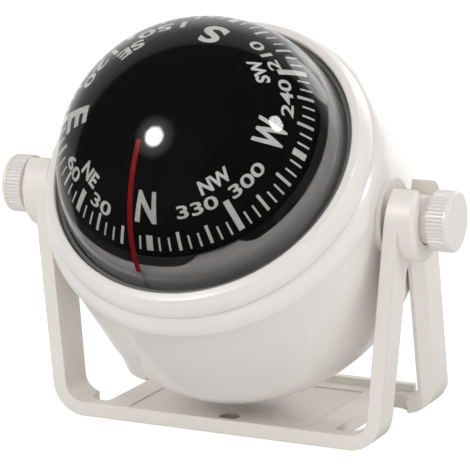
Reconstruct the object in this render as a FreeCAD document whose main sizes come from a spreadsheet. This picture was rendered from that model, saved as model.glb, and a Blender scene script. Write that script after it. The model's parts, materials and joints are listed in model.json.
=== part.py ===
import FreeCAD, Part
import math
import os
import Sketcher

# A ball compass for a car dashboard. A liquid-filled capsule with a clear dome sits in a round
# white housing, and the housing tilts between the two arms of a screw-down bracket, where two
# hand knobs hold it. Z is up, X runs along the tilt axis and -Y is the side that the dial faces.
# The origin is on the bracket's underside, straight below the middle of the tilt axis.

doc = FreeCAD.newDocument("DashCompass")
sheet = doc.addObject("Spreadsheet::Sheet", "Sizes")

# Every length is in millimetres, and every angle in degrees. A drop, rise or foot in the
# housing's pieces is measured along the compass axis.
SIZES = {
    # Bracket
    "swing_gap": 0.5116,
    "plate_thickness": 2.5,
    "plate_front": 6.2,
    "plate_rear": 26.2,
    "arm_thickness": 2.5,
    "arm_gap": 0.92,
    "arm_lean": 4.86,
    "bend_radius": 6.0,
    "head_radius": 7.2,
    "head_reach": 6.05,
    "head_rounding": 0.8,
    "shoulder_turn": 50.0,
    "shoulder_back": 9.6,
    "shoulder_rounding": 3.0,
    "rear_foot_height": 4.0,
    "front_leg_width": 7.3,
    "rear_leg_width": 8.4,
    "window_top_gap": 0.45,
    "window_rounding": 1.6,
    "window_land": 0.6,
    "window_bevel": 2.0,
    "notch_inset": 6.6,
    "notch_width": 4.3,
    "notch_inner_rounding": 0.8,
    "notch_outer_rounding": 3.0,
    "notch_front_rim": 2.5,
    "notch_rear_rim": 4.0,
    "lip_height": 1.3,
    "lip_thickness": 1.7,
    "lip_inset": 3.3,
    "plate_recess": 0.2,
    "plate_recess_inset": 4.8,
    "plate_recess_rim": 1.2,
    "screw_hole_radius": 1.8,
    "screw_hole_side": 1.7,
    "screw_hole_inset": 3.1,
    "screw_hole_spacing": 22.0,
    "slot_gap": 0.2,
    # Tilt of the housing at rest, from the dial level
    "tilt": 48.36,
    "pivot_to_dome": 11.4,
    # Dome
    "dome_radius": 25.35,
    "dome_wall": 1.8,
    "dome_skirt": 1.0,
    "flange_reach": 1.65,
    "flange_thickness": 1.6,
    # Dark gasket that shows round the dome
    "gasket_bore_gap": 0.12,
    "gasket_top": 2.3,
    "gasket_foot_height": 2.3,
    "gasket_lip_gap": 0.2,
    # Bezel ring
    "bezel_gap": 0.97,
    "bezel_lip": 3.2,
    "bezel_lip_rounding": 0.3,
    "bezel_lip_width": 1.25,
    "bezel_lip_drop": 0.2,
    "bezel_crest_rounding": 0.5,
    "bezel_edge_width": 1.62,
    "bezel_edge_drop": 0.62,
    "bezel_foot_reach": 2.05,
    "bezel_foot": 0.5,
    "bezel_skirt_length": 3.6,
    "bezel_skirt_wall": 0.95,
    "bezel_pocket_gap": 0.06,
    "bezel_skirt_gap": 0.09,
    # Housing bowl
    "seam_gap": 0.2,
    "bead_start_reach": 1.7,
    "bead_reach": 1.8,
    "bead_height": 3.7,
    "bead_step": 0.3,
    "bead_step_height": 1.3,
    "bowl_wall": 2.1,
    "belly_reach": 0.2,
    "belly_drop": 28.6,
    "belly_rounding": 12.0,
    "foot_inset": 7.8,
    "foot_depth": 11.4,
    "foot_thickness": 2.5,
    "foot_rim": 8.9,
    "foot_rounding": 0.5,
    "cheek_depth": 0.85,
    "side_pad_radius": 6.5,
    "side_pad_height": 0.9,
    "inner_boss_radius": 5.2,
    "inner_boss_length": 6.25,
    "ledge_width": 3.6,
    "ledge_thickness": 1.6,
    "post_radius": 2.8,
    "post_inset": 5.9,
    "post_height": 4.5,
    "pry_notch_width": 4.0,
    "pry_notch_height": 0.6,
    "pry_notch_turn": -16.5,
    # Bottom cover and its screws
    "cover_inset": 1.6,
    "cover_thickness": 2.2,
    "cover_rounding": 1.6,
    "cover_screws": 3,
    "cover_screw_radius": 1.1,
    "cover_screw_length": 6.0,
    "cover_screw_turn": 60.0,
    "cover_head_radius": 1.8,
    "cover_head_height": 0.9,
    "cover_head_depth": 1.1,
    "cover_head_gap": 0.2,
    "cross_recess_width": 0.5,
    "cross_recess_depth": 0.5,
    # Capsule bowl inside the housing
    "seal_thickness": 0.5,
    "seal_width": 2.8,
    "capsule_flange_thickness": 1.6,
    "capsule_flange_width": 4.4,
    "capsule_wall": 1.4,
    "capsule_drop": 20.0,
    "capsule_floor": 1.8,
    "capsule_rounding": 3.0,
    "column_radius": 3.0,
    "column_drop": 0.5,
    "ports": 4,
    "port_radius": 1.2,
    "port_circle": 7.0,
    # Liner ring under the card
    "liner_gap": 0.65,
    "liner_wall": 1.2,
    "liner_rise": 4.6,
    "liner_thickness": 1.6,
    "liner_rounding": 1.9,
    "liner_width": 9.4,
    "liner_windows": 3,
    "liner_window_rim": 2.0,
    "liner_window_land": 1.5,
    "liner_window_angle": 100.0,
    "liner_window_turn": -32.0,
    # Lubber line
    "lubber_gap": 0.12,
    "lubber_thickness": 0.3,
    "lubber_width": 0.8,
    "lubber_turn": -7.5,
    "lubber_reach": 68.0,
    "lubber_foot_rise": 1.8,
    # Card and what it carries
    "card_gap": 4.35,
    "card_edge_rise": 5.95,
    "card_centre_drop": 6.7,
    "card_thickness": 0.8,
    "hub_radius": 4.6,
    "float_inset": 6.33,
    "float_height": 3.2,
    "float_gap": 0.1,
    "magnet_length": 16.0,
    "magnet_width": 3.0,
    "magnet_height": 3.0,
    "magnet_spread": 5.5,
    "magnet_turn": -2.9,
    "jewel_radius": 1.8,
    "jewel_length": 5.6,
    "jewel_bore": 0.9,
    "jewel_bore_depth": 3.6,
    "pivot_pin_radius": 0.6,
    "pivot_tip_length": 1.2,
    "pivot_tip_gap": 0.1,
    "pivot_seat_depth": 6.0,
    # Diaphragm that takes up the liquid's growth, its ring and screws, and the filler plug
    "diaphragm_inset": 9.6,
    "diaphragm_thickness": 0.8,
    "diaphragm_dish": 1.6,
    "diaphragm_slope": 1.4,
    "ring_width": 2.6,
    "ring_thickness": 1.6,
    "ring_screws": 6,
    "ring_screw_radius": 0.6,
    "ring_screw_length": 3.6,
    "ring_head_radius": 1.1,
    "ring_head_height": 0.8,
    "plug_radius": 1.5,
    "plug_head_radius": 2.4,
    "plug_head_height": 1.2,
    "plug_gap": 4.0,
    "plug_turn": 60.0,
    # Knobs, studs and threaded inserts
    "knob_radius": 5.15,
    "knob_gap": 1.5,
    "knob_length": 3.7,
    "knob_rounding": 0.5,
    "knob_rim": 0.9,
    "knob_ribs": 48,
    "knob_groove_depth": 0.22,
    "knob_groove_width": 0.36,
    "neck_radius": 4.1,
    "neck_length": 5.1,
    "stud_radius": 2.0,
    "stud_running_gap": 0.05,
    "stud_inset": 0.9,
    "stud_cover": 1.6,
    "stud_tip": 0.4,
    "stud_end_gap": 0.1,
    "insert_radius": 3.1,
    "insert_flange_radius": 3.8,
    "insert_flange_thickness": 0.6,
    # How far a cut runs past what it cuts
    "overrun": 1.0,
}

for row, (alias, value) in enumerate(SIZES.items(), start=1):
    sheet.set("A%d" % row, alias)
    sheet.set("B%d" % row, str(value))
    sheet.setAlias("B%d" % row, alias)
doc.recompute()


class Size:
    """A length, angle or ratio that knows its value and the spreadsheet formula that gives it."""

    def __init__(self, value, text):
        self.value = value
        self.text = text

    def __add__(self, other):
        other = sized(other)
        return Size(self.value + other.value, "(%s + %s)" % (self.text, other.text))

    def __sub__(self, other):
        other = sized(other)
        return Size(self.value - other.value, "(%s - %s)" % (self.text, other.text))

    def __mul__(self, other):
        other = sized(other)
        return Size(self.value * other.value, "(%s * %s)" % (self.text, other.text))

    def __truediv__(self, other):
        other = sized(other)
        return Size(self.value / other.value, "(%s / %s)" % (self.text, other.text))

    def __rmul__(self, other):
        return sized(other) * self

    def __neg__(self):
        return Size(-self.value, "(0 - %s)" % self.text)


class Sheet:
    """Reads a named size from the spreadsheet, so that S.tilt is the tilt's Size."""

    def __getattr__(self, alias):
        return Size(float(sheet.get(alias)), "Sizes." + alias)


def sized(number):
    """A plain number as a Size, and a Size as it is."""
    return number if isinstance(number, Size) else Size(float(number), repr(float(number)))


def root(size):
    return Size(math.sqrt(size.value), "sqrt(%s)" % size.text)


def sine(angle):
    return Size(math.sin(math.radians(angle.value)), "sin(%s)" % angle.text)


def cosine(angle):
    return Size(math.cos(math.radians(angle.value)), "cos(%s)" % angle.text)


S = Sheet()
ZERO = sized(0)

# Radii of the round pieces, which follow the dome's
dome_bore = S.dome_radius - S.dome_wall
flange_radius = S.dome_radius + S.flange_reach
bezel_bore = S.dome_radius + S.bezel_gap
bezel_foot_radius = flange_radius + S.bezel_foot_reach
bead_start_radius = flange_radius + S.bead_start_reach
bead_radius = bead_start_radius + S.bead_reach
belly_radius = bead_radius + S.belly_reach
foot_radius = belly_radius - S.foot_inset
foot_bore = foot_radius - S.foot_rim
post_circle = foot_radius - S.post_inset
cover_radius = foot_radius - S.cover_inset
ledge_bore = flange_radius - S.ledge_width
seal_bore = flange_radius - S.seal_width
capsule_radius = flange_radius - S.capsule_flange_width
liner_radius = dome_bore - S.liner_gap
liner_bore = liner_radius - S.liner_width
liner_window_outer = liner_radius - S.liner_window_rim
liner_window_inner = liner_bore + S.liner_window_land
card_edge_radius = dome_bore - S.card_gap
float_radius = card_edge_radius - S.float_inset
diaphragm_radius = capsule_radius - S.diaphragm_inset
ring_bore = diaphragm_radius - S.ring_width
ring_screw_circle = diaphragm_radius - S.ring_width / 2
diaphragm_flat = ring_bore - S.diaphragm_slope
plug_circle = diaphragm_radius + S.plug_gap

# Height of the tilt axis, at which the bowl's foot clears the plate when the housing swings
foot_drop = S.belly_drop + S.foot_depth
foot_below_axis = foot_drop - S.pivot_to_dome
foot_reach = root(foot_radius * foot_radius + foot_below_axis * foot_below_axis)
pivot_height = S.plate_thickness + foot_reach + S.swing_gap

# Places along the tilt axis, from the bowl's cheeks out to the knobs
lean_run = sine(S.arm_lean) / cosine(S.arm_lean)
cheek_half_gap = belly_radius - S.cheek_depth
inner_boss_end = cheek_half_gap - S.inner_boss_length
side_pad_face = cheek_half_gap + S.side_pad_height
arm_half_gap = side_pad_face + S.arm_gap - pivot_height * lean_run
head_face = side_pad_face + S.head_reach
knob_inner_face = head_face + S.knob_gap
knob_outer_face = knob_inner_face + S.knob_length
neck_end = knob_inner_face - S.neck_length
stud_inner_end = inner_boss_end + S.stud_inset
stud_outer_end = knob_outer_face - S.stud_cover
notch_half_gap = arm_half_gap - S.notch_inset
plate_recess_half_length = notch_half_gap - S.plate_recess_inset
lip_half_length = arm_half_gap - S.lip_inset

# Lengths closer than this are the same, and an arc whose ends are this share of its diameter
# apart is a half circle.
SAME = 0.001
HALF_CIRCLE_SHARE = 0.9999


class Corner:
    """A corner of an outline. It can be rounded, and the edge that leads to it can be an arc.

    A positive arc radius turns left on the way to the corner, and a negative one turns right.
    """

    def __init__(self, x, y, rounding=None, arc=None):
        self.x = sized(x)
        self.y = sized(y)
        self.rounding = rounding
        self.arc = arc
        self.point = FreeCAD.Vector(self.x.value, self.y.value, 0)


class Ring:
    """A whole circle in an outline."""

    def __init__(self, x, y, radius):
        self.x = sized(x)
        self.y = sized(y)
        self.radius = radius


def arc_edge(start, end, radius):
    """The shorter arc from start to end, and which of its ends the path starts and finishes on."""
    chord = end - start
    across = FreeCAD.Vector(-chord.y, chord.x, 0).normalize()
    height = math.sqrt(max(radius * radius - chord.Length ** 2 / 4, 0))
    centre = (start + end) * 0.5 + across * (height if radius > 0 else -height)
    circle = Part.Circle(centre, FreeCAD.Vector(0, 0, 1), abs(radius))
    first, last = (start, end) if radius > 0 else (end, start)
    edge = Part.ArcOfCircle(circle, circle.parameter(first), circle.parameter(last))
    return (edge, 1, 2) if radius > 0 else (edge, 2, 1)


def tie(sketch, kind, places, size):
    """Adds one constraint and binds its value to the size's formula."""
    index = sketch.addConstraint(Sketcher.Constraint(kind, *places, size.value))
    sketch.setExpression("Constraints[%d]" % index, size.text)


def tie_point(sketch, geometry, position, x, y):
    """Holds a point of the sketch at (x, y). A zero puts it on an axis of the sketch."""
    for kind, size, axis in (("DistanceX", x, -2), ("DistanceY", y, -1)):
        if size.value == 0:
            sketch.addConstraint(Sketcher.Constraint("PointOnObject", geometry, position, axis))
        else:
            tie(sketch, kind, (-1, 1, geometry, position), size)


def draw_ring(sketch, ring):
    """Draws a circle and ties its centre and radius."""
    centre = FreeCAD.Vector(ring.x.value, ring.y.value, 0)
    circle = Part.Circle(centre, FreeCAD.Vector(0, 0, 1), ring.radius.value)
    index = sketch.addGeometry(circle, False)
    tie_point(sketch, index, 3, ring.x, ring.y)
    tie(sketch, "Radius", (index,), ring.radius)


def tie_arc(sketch, geometry, start, end):
    """Ties an arc's radius or, on a half circle, where its centre lies between its ends."""
    radius = end.arc if end.arc.value > 0 else -end.arc
    run = end.point - start.point
    if run.Length < 2 * radius.value * HALF_CIRCLE_SHARE:
        tie(sketch, "Radius", (geometry,), radius)
    elif abs(run.x) > abs(run.y):
        tie_middle(sketch, "DistanceY", geometry, (start.y + end.y) / 2, -1)
    else:
        tie_middle(sketch, "DistanceX", geometry, (start.x + end.x) / 2, -2)


def tie_middle(sketch, kind, geometry, size, axis):
    """Ties one coordinate of an arc's centre. A zero puts it on an axis of the sketch."""
    if abs(size.value) < SAME:
        sketch.addConstraint(Sketcher.Constraint("PointOnObject", geometry, 3, axis))
    else:
        tie(sketch, kind, (-1, 1, geometry, 3), size)


def rounded_ends(before, corner, after):
    """The two points where a corner's rounding starts and ends."""
    back = (before - corner.point).normalize()
    ahead = (after - corner.point).normalize()
    reach = corner.rounding.value / math.tan(back.getAngle(ahead) / 2)
    return corner.point + back * reach, corner.point + ahead * reach


def draw_outline(sketch, corners):
    """Draws a closed outline through the corners and ties every corner, rounding and arc."""
    count = len(corners)
    ends = []
    for index, corner in enumerate(corners):
        if corner.rounding is None:
            ends.append((corner.point, corner.point))
        else:
            before = corners[index - 1].point
            after = corners[(index + 1) % count].point
            ends.append(rounded_ends(before, corner, after))

    pieces = []
    for index, corner in enumerate(corners):
        if corner.rounding is not None:
            turn = (ends[index][1] - corner.point).cross(ends[index][0] - corner.point).z
            radius = corner.rounding.value if turn > 0 else -corner.rounding.value
            edge, first, last = arc_edge(ends[index][0], ends[index][1], radius)
            pieces.append((index, "rounding", sketch.addGeometry(edge, False), first, last))
        following = corners[(index + 1) % count]
        start, end = ends[index][1], ends[(index + 1) % count][0]
        if following.arc is not None:
            edge, first, last = arc_edge(start, end, following.arc.value)
        else:
            edge, first, last = Part.LineSegment(start, end), 1, 2
        pieces.append((index, "edge", sketch.addGeometry(edge, False), first, last))

    for place, (index, kind, geometry, first, last) in enumerate(pieces):
        corner = corners[index]
        _, after_kind, after, after_first, _ = pieces[(place + 1) % len(pieces)]
        smooth = "rounding" in (kind, after_kind)
        joint = "Tangent" if smooth else "Coincident"
        sketch.addConstraint(Sketcher.Constraint(joint, geometry, last, after, after_first))
        if kind == "rounding":
            tie(sketch, "Radius", (geometry,), corner.rounding)
            before = pieces[place - 1][2]
            point = sketch.addGeometry(Part.Point(corner.point), True)
            tie_point(sketch, point, 1, corner.x, corner.y)
            sketch.addConstraint(Sketcher.Constraint("PointOnObject", point, 1, before))
            sketch.addConstraint(Sketcher.Constraint("PointOnObject", point, 1, after))
        else:
            if corner.rounding is None:
                tie_point(sketch, geometry, first, corner.x, corner.y)
            following = corners[(index + 1) % count]
            if following.arc is not None:
                tie_arc(sketch, geometry, corner, following)


def new_body(label, kind="bracket"):
    """A body in the bracket's frame, in the tilted housing's frame or on the tilt axis."""
    body = doc.addObject("PartDesign::Body", label)
    body.Label = label
    if kind in ("housing", "axle"):
        body.setExpression("Placement.Base.z", pivot_height.text)
    if kind == "housing":
        body.Placement.Rotation = FreeCAD.Rotation(FreeCAD.Vector(1, 0, 0), S.tilt.value)
        body.setExpression("Placement.Rotation.Angle", S.tilt.text)
    return body


def origin_part(body, role):
    """One of the body's own origin planes or axes, such as XY_Plane or Z_Axis."""
    return next(part for part in body.Origin.OriginFeatures if part.Role == role)


def new_sketch(body, role, outlines, start=ZERO, turn=ZERO, about="y"):
    """A sketch on an origin plane, moved along its normal and turned about one of its axes."""
    sketch = body.newObject("Sketcher::SketchObject", "%s_sketch" % body.Label)
    sketch.AttachmentSupport = (origin_part(body, role), [""])
    sketch.MapMode = "FlatFace"
    axis = {"x": (1, 0, 0), "y": (0, 1, 0), "z": (0, 0, 1)}[about]
    rotation = FreeCAD.Rotation(FreeCAD.Vector(*axis), turn.value)
    sketch.AttachmentOffset = FreeCAD.Placement(FreeCAD.Vector(0, 0, start.value), rotation)
    if start.value:
        sketch.setExpression("AttachmentOffset.Base.z", start.text)
    if turn.value:
        sketch.setExpression("AttachmentOffset.Rotation.Angle", turn.text)
    for outline in outlines:
        if isinstance(outline, Ring):
            draw_ring(sketch, outline)
        else:
            draw_outline(sketch, outline)
    return sketch


def revolve(body, corners, axis="V_Axis"):
    """Turns an outline in the XZ plane once round the sketch's axis."""
    sketch = new_sketch(body, "XZ_Plane", [corners])
    feature = body.newObject("PartDesign::Revolution", "%s_revolution" % body.Label)
    feature.Profile = sketch
    feature.ReferenceAxis = (sketch, [axis])
    feature.Angle = 360
    return feature


def extrude(body, role, outlines, start, length, cut=False, turn=ZERO, about="y"):
    """Adds or cuts the outlines from start to start plus length along the plane's normal."""
    sketch = new_sketch(body, role, outlines, start, turn, about)
    kind = "Pocket" if cut else "Pad"
    feature = body.newObject("PartDesign::%s" % kind, "%s_%s" % (body.Label, kind.lower()))
    feature.Profile = sketch
    feature.Length = length.value
    feature.setExpression("Length", length.text)
    feature.Reversed = cut
    if cut:
        check_cut(body, feature)
    return feature


def check_cut(body, feature):
    """Stops if a cut took nothing away."""
    doc.recompute()
    before = feature.BaseFeature.Shape.Volume
    if feature.Shape.Volume >= before:
        raise RuntimeError("%s cut nothing from %s" % (feature.Name, body.Label))


def repeat(body, features, axis, count):
    """Repeats features evenly round one of the body's axes."""
    pattern = body.newObject("PartDesign::PolarPattern", "%s_pattern" % body.Label)
    pattern.Originals = features
    pattern.Axis = (origin_part(body, axis), [""])
    pattern.Angle = 360
    pattern.Occurrences = int(count.value)
    pattern.setExpression("Occurrences", count.text)
    body.Tip = pattern
    return pattern


def round_edges(body, radius, wanted):
    """Rounds the edges of the body's last shape that the wanted test picks."""
    doc.recompute()
    base = body.Tip
    names = ["Edge%d" % (index + 1) for index, edge in enumerate(base.Shape.Edges) if wanted(edge)]
    if not names:
        raise RuntimeError("no edge to round on %s" % body.Label)
    fillet = body.newObject("PartDesign::Fillet", "%s_fillet" % body.Label)
    fillet.Base = (base, names)
    fillet.Radius = radius.value
    fillet.setExpression("Radius", radius.text)
    body.Tip = fillet
    return fillet


def up(rise):
    """The height of something on the compass axis, from its height above the dome's middle."""
    return S.pivot_to_dome + rise


def down(drop):
    """The height of something on the compass axis, from its depth under the dome's middle."""
    return S.pivot_to_dome - drop


def box_outline(x_from, x_to, y_from, y_to, rounding=None):
    return [
        Corner(x_from, y_from, rounding),
        Corner(x_to, y_from, rounding),
        Corner(x_to, y_to, rounding),
        Corner(x_from, y_to, rounding),
    ]


# Heights of the capsule's stack, from the dome's middle downwards
seal_drop = S.dome_skirt + S.flange_thickness
capsule_flange_drop = seal_drop + S.seal_thickness
ledge_drop = capsule_flange_drop + S.capsule_flange_thickness
gasket_foot_top = S.gasket_foot_height - S.dome_skirt

# Lines of the bracket's arms, seen from the side and from the front
arm_outer_half_gap = arm_half_gap + S.arm_thickness / cosine(S.arm_lean)
arm_top = pivot_height + S.head_radius
shoulder_start = S.head_radius * cosine(S.shoulder_turn)
shoulder_fall = (S.shoulder_back - shoulder_start) * cosine(S.shoulder_turn) / sine(S.shoulder_turn)
shoulder_height = pivot_height + S.head_radius * sine(S.shoulder_turn) - shoulder_fall
rear_run = (S.plate_rear - S.shoulder_back) / (shoulder_height - S.rear_foot_height)


def rear_edge(height):
    """How far back the rear edge of the arm is at a height."""
    return S.plate_rear - (height - S.rear_foot_height) * rear_run


def bracket_side_outline():
    """The bracket's outline from the side: the plate's end, the legs and the round heads."""
    reach = root(S.plate_front * S.plate_front + pivot_height * pivot_height)
    along = S.head_radius / reach
    across = root(sized(1) - along * along)
    touch_y = -S.head_radius * (along * S.plate_front + across * pivot_height) / reach
    touch_z = pivot_height - S.head_radius * (along * pivot_height - across * S.plate_front) / reach
    return [
        Corner(S.plate_rear, ZERO),
        Corner(S.plate_rear, S.rear_foot_height),
        Corner(S.shoulder_back, shoulder_height, S.shoulder_rounding),
        Corner(shoulder_start, pivot_height + S.head_radius * sine(S.shoulder_turn)),
        Corner(touch_y, touch_z, arc=S.head_radius),
        Corner(-S.plate_front, ZERO),
    ]


def window_outline(bevel, lean):
    """The arm's window from the side, open at the bottom and spread by the bevel."""
    top = pivot_height - S.head_radius - S.window_top_gap
    front = S.front_leg_width - S.plate_front - bevel
    return [
        Corner(front, -S.overrun / lean),
        Corner(rear_edge(-S.overrun) - S.rear_leg_width + bevel, -S.overrun / lean),
        Corner(rear_edge(top) - S.rear_leg_width + bevel, top / lean, S.window_rounding),
        Corner(front, top / lean, S.window_rounding),
    ]


def bevel_window(body, side):
    """Spreads the window towards the arm's outer face with a slanted cut."""
    lean = cosine(S.arm_lean)
    sketches = []
    for depth in (S.window_land, S.arm_thickness + S.overrun):
        share = (depth - S.window_land) / (S.arm_thickness - S.window_land)
        spread = S.window_bevel * share
        outline = window_outline(spread, lean)
        place = side * (arm_half_gap + depth * lean)
        sketch = new_sketch(body, "YZ_Plane", [outline], place, side * S.arm_lean, "x")
        drop = -depth * sine(S.arm_lean)
        sketch.setExpression("AttachmentOffset.Base.y", drop.text)
        sketches.append(sketch)
    loft = body.newObject("PartDesign::SubtractiveLoft", "%s_loft" % body.Label)
    loft.Profile = sketches[0]
    loft.Sections = [sketches[1]]
    loft.Ruled = True
    check_cut(body, loft)


def make_bracket():
    """The one-piece bracket: plate, two leaning arms with windows, and slotted round heads."""
    body = new_body("mounting_bracket")
    extrude(body, "YZ_Plane", [bracket_side_outline()], -head_face, 2 * head_face)

    top = arm_top + S.overrun
    inner_top = arm_half_gap + top * lean_run
    inner_foot = arm_half_gap + S.plate_thickness * lean_run
    inner_bend = S.bend_radius - S.arm_thickness
    inside = [
        Corner(-inner_foot, S.plate_thickness, inner_bend),
        Corner(inner_foot, S.plate_thickness, inner_bend),
        Corner(inner_top, top),
        Corner(-inner_top, top),
    ]
    depth = S.head_radius + S.plate_rear + 2 * S.overrun
    extrude(body, "XZ_Plane", [inside], -(S.plate_rear + S.overrun), depth, cut=True)

    outsides = []
    for side in (1, -1):
        outsides.append([
            Corner(side * (arm_outer_half_gap - 2 * S.bend_radius), ZERO),
            Corner(side * arm_outer_half_gap, ZERO, S.bend_radius),
            Corner(side * (arm_outer_half_gap + top * lean_run), top),
            Corner(side * (head_face + S.overrun), top),
            Corner(side * (head_face + S.overrun), -S.overrun),
            Corner(side * (arm_outer_half_gap - 2 * S.bend_radius), -S.overrun),
        ])
    extrude(body, "XZ_Plane", outsides, -(S.plate_rear + S.overrun), depth, cut=True)

    head_start = arm_half_gap + pivot_height * lean_run + S.arm_thickness / 2
    head_length = head_face - head_start
    head = [Ring(ZERO, pivot_height, S.head_radius)]
    extrude(body, "YZ_Plane", head, head_start, head_length)
    extrude(body, "YZ_Plane", head, -head_face, head_length)

    slot_radius = S.neck_radius + S.slot_gap
    slot = [
        Corner(slot_radius, top),
        Corner(-slot_radius, top),
        Corner(-slot_radius, pivot_height),
        Corner(slot_radius, pivot_height, arc=slot_radius),
    ]
    extrude(body, "YZ_Plane", [slot], -(head_face + S.overrun), 2 * (head_face + S.overrun), cut=True)

    window = [window_outline(ZERO, sized(1))]
    window_length = head_face - notch_half_gap
    extrude(body, "YZ_Plane", window, notch_half_gap, window_length, cut=True)
    extrude(body, "YZ_Plane", window, -head_face, window_length, cut=True)
    for side in (1, -1):
        bevel_window(body, side)

    notches = []
    front = S.notch_front_rim - S.plate_front
    rear = S.plate_rear - S.notch_rear_rim
    for side in (1, -1):
        near = side * notch_half_gap
        far = side * (notch_half_gap + S.notch_width)
        notches.append([
            Corner(near, front, S.notch_inner_rounding),
            Corner(far, front, S.notch_outer_rounding),
            Corner(far, rear, S.notch_outer_rounding),
            Corner(near, rear, S.notch_inner_rounding),
        ])
    through = S.plate_thickness + 2 * S.overrun
    extrude(body, "XY_Plane", notches, -S.overrun, through, cut=True)

    lip = box_outline(-lip_half_length, lip_half_length, S.plate_rear - S.lip_thickness, S.plate_rear)
    extrude(body, "XY_Plane", [lip], S.plate_thickness / 2, S.plate_thickness / 2 + S.lip_height)

    recess = box_outline(
        -plate_recess_half_length,
        plate_recess_half_length,
        S.plate_recess_rim - S.plate_front,
        rear - S.plate_recess_rim,
    )
    recess_floor = S.plate_thickness - S.plate_recess
    extrude(body, "XY_Plane", [recess], recess_floor, S.plate_recess + S.overrun, cut=True)

    first_hole = S.screw_hole_inset - S.plate_front
    holes = [
        Ring(S.screw_hole_side, first_hole, S.screw_hole_radius),
        Ring(S.screw_hole_side, first_hole + S.screw_hole_spacing, S.screw_hole_radius),
    ]
    extrude(body, "XY_Plane", holes, -S.overrun, through, cut=True)

    def head_rim(edge):
        middle = edge.valueAt((edge.FirstParameter + edge.LastParameter) / 2)
        on_face = abs(abs(middle.x) - head_face.value) < SAME
        away = math.hypot(middle.y, middle.z - pivot_height.value)
        return on_face and abs(away - S.head_radius.value) < SAME

    round_edges(body, S.head_rounding, head_rim)
    return body


def make_housing_bowl():
    """The white bowl: beaded rim, ledge for the capsule, flat cheeks, axle pads and screw posts."""
    body = new_body("housing_bowl", "housing")
    rim_drop = S.bezel_foot + S.seam_gap
    rim_bore = flange_radius + S.bezel_pocket_gap + S.bezel_skirt_wall + S.bezel_skirt_gap
    bead_depth = bead_radius - bead_start_radius
    bead_arc = (bead_depth * bead_depth + S.bead_height * S.bead_height) / (2 * bead_depth)
    bead_drop = rim_drop + S.bead_height
    wall_top = bead_radius - S.bead_step
    cone_in = belly_radius - foot_radius
    cone_down = foot_drop - S.belly_drop
    cone_length = root(cone_in * cone_in + cone_down * cone_down)
    inner_belly = belly_radius - S.bowl_wall
    inner_belly_drop = S.belly_drop - S.bowl_wall * (cone_length - cone_down) / cone_in
    floor_drop = foot_drop - S.foot_thickness
    inner_foot = inner_belly - (floor_drop - inner_belly_drop) * cone_in / cone_down
    revolve(body, [
        Corner(rim_bore, down(rim_drop)),
        Corner(bead_start_radius, down(rim_drop)),
        Corner(bead_radius, down(bead_drop), arc=-bead_arc),
        Corner(wall_top, down(bead_drop + S.bead_step_height)),
        Corner(belly_radius, down(S.belly_drop), S.belly_rounding),
        Corner(foot_radius, down(foot_drop), S.foot_rounding),
        Corner(foot_bore, down(foot_drop)),
        Corner(foot_bore, down(floor_drop)),
        Corner(inner_foot, down(floor_drop)),
        Corner(inner_belly, down(inner_belly_drop), S.belly_rounding - S.bowl_wall),
        Corner(rim_bore, down(ledge_drop + S.ledge_thickness)),
        Corner(ledge_bore, down(ledge_drop + S.ledge_thickness)),
        Corner(ledge_bore, down(ledge_drop)),
        Corner(rim_bore, down(ledge_drop)),
    ])
    boss_length = cheek_half_gap - inner_boss_end
    pad_start = cheek_half_gap - S.bowl_wall / 2
    pad_length = side_pad_face - pad_start
    cheek_length = belly_radius - cheek_half_gap + S.overrun
    boss = [Ring(ZERO, ZERO, S.inner_boss_radius)]
    pad = [Ring(ZERO, ZERO, S.side_pad_radius)]
    cheek = [Ring(ZERO, ZERO, belly_radius)]
    extrude(body, "YZ_Plane", cheek, cheek_half_gap, cheek_length, cut=True)
    extrude(body, "YZ_Plane", cheek, -(cheek_half_gap + cheek_length), cheek_length, cut=True)
    extrude(body, "YZ_Plane", boss, inner_boss_end, boss_length)
    extrude(body, "YZ_Plane", boss, -cheek_half_gap, boss_length)
    extrude(body, "YZ_Plane", pad, pad_start, pad_length)
    extrude(body, "YZ_Plane", pad, -side_pad_face, pad_length)
    bore = [Ring(ZERO, ZERO, S.insert_radius)]
    bore_start = inner_boss_end - S.overrun
    bore_length = side_pad_face - inner_boss_end + 2 * S.overrun
    extrude(body, "YZ_Plane", bore, bore_start, bore_length, cut=True)
    extrude(body, "YZ_Plane", bore, -(bore_start + bore_length), bore_length, cut=True)

    posts = []
    bores = []
    for index in range(int(S.cover_screws.value)):
        x, y = screw_place(index)
        posts.append(Ring(x, y, S.post_radius))
        bores.append(Ring(x, y, S.cover_screw_radius))
    post_top = floor_drop - S.post_height
    post_start = down(floor_drop + S.foot_thickness / 2)
    extrude(body, "XY_Plane", posts, post_start, S.post_height + S.foot_thickness / 2)
    bore_depth = S.foot_thickness + S.post_height + 2 * S.overrun
    extrude(body, "XY_Plane", bores, down(foot_drop + S.overrun), bore_depth, cut=True)

    notch = box_outline(
        -S.pry_notch_width / 2,
        S.pry_notch_width / 2,
        -(foot_radius + S.overrun),
        -cover_radius,
    )
    notch_start = down(foot_drop + S.overrun)
    notch_length = S.overrun + S.pry_notch_height
    turn = S.pry_notch_turn
    extrude(body, "XY_Plane", [notch], notch_start, notch_length, cut=True, turn=turn, about="z")
    return body


def screw_place(index):
    """Where a cover screw stands on its circle."""
    turn = S.cover_screw_turn + sized(360) / S.cover_screws * index
    return post_circle * sine(turn), -post_circle * cosine(turn)


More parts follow.
